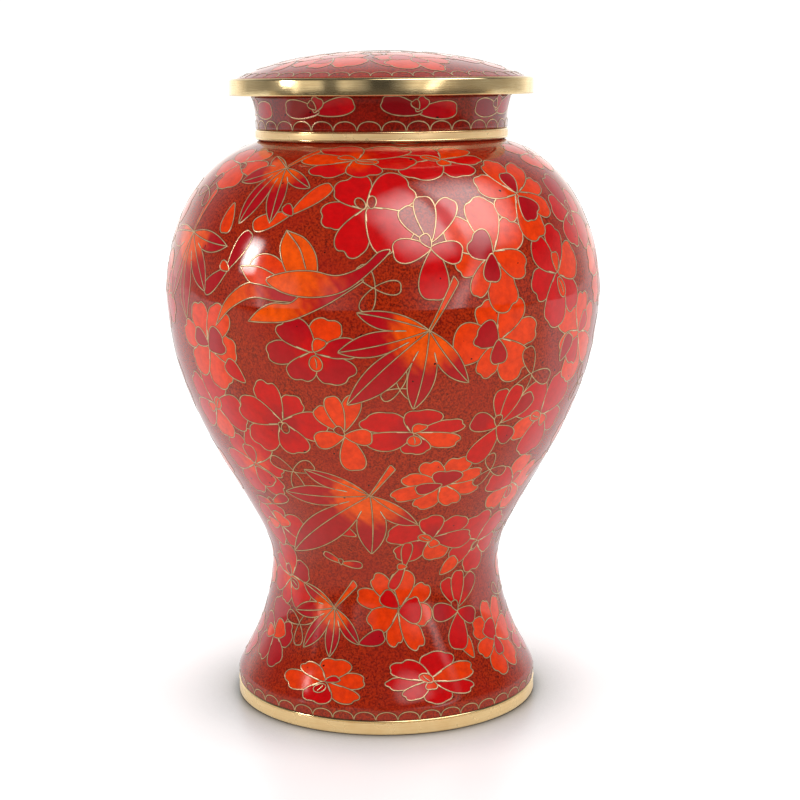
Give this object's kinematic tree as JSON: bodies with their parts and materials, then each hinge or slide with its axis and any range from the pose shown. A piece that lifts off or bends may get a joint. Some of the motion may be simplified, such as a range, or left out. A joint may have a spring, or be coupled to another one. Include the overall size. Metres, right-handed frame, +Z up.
{
  "type": "lidded vase",
  "caption": "Baluster vase in cloisonne enamel on a flared foot, with brass foot, neck and rim rings and a domed screw-on lid over a hollow copper body.",
  "frame": {"origin": "centre of the foot ring's underside, on the surface the vase stands on", "axes": "+Z up along the axis of the vase, towards the lid; the vase is round, so X and Y are free, and -Y is the side seen first"},
  "size_m": [0.178, 0.178, 0.267],
  "materials": {
    "enamel": "gloss, polished fired enamel",
    "satin_brass": "satin",
    "polished_brass": "polished",
    "copper": "dull",
    "felt": "matt",
    "cork": "matt"
  },
  "bodies": {
    "vase": {"foot_ring": "satin_brass", "base_plate": "copper", "base_felt": "felt", "foot_shell": "copper", "lower_body_shell": "copper", "upper_body_shell": "copper", "neck_shell": "copper", "body_enamel": "enamel", "neck_enamel": "enamel", "neck_ring": "satin_brass", "mouth_ring": "polished_brass"},
    "seal": {"lid_seal": "cork"},
    "lid": {"lid_rim": "polished_brass", "lid_dome": "copper", "lid_enamel": "enamel", "lid_lining": "satin_brass", "lid_collar": "polished_brass"}
  },
  "joints": [
    {"name": "lid_rise", "type": "slide", "parent": "vase", "child": "seal", "axis": [0, 0, 1], "range_m": [0, 0.012]},
    {"name": "lid_turn", "type": "hinge", "parent": "seal", "child": "lid", "pos_m": [0, 0, 0.2496], "axis": [0, 0, 1], "range_deg": [0, 1440]}
  ],
  "couplings": [
    {"joint": "lid_rise", "follows": "lid_turn", "m_per_rad": 0.00047746}
  ]
}
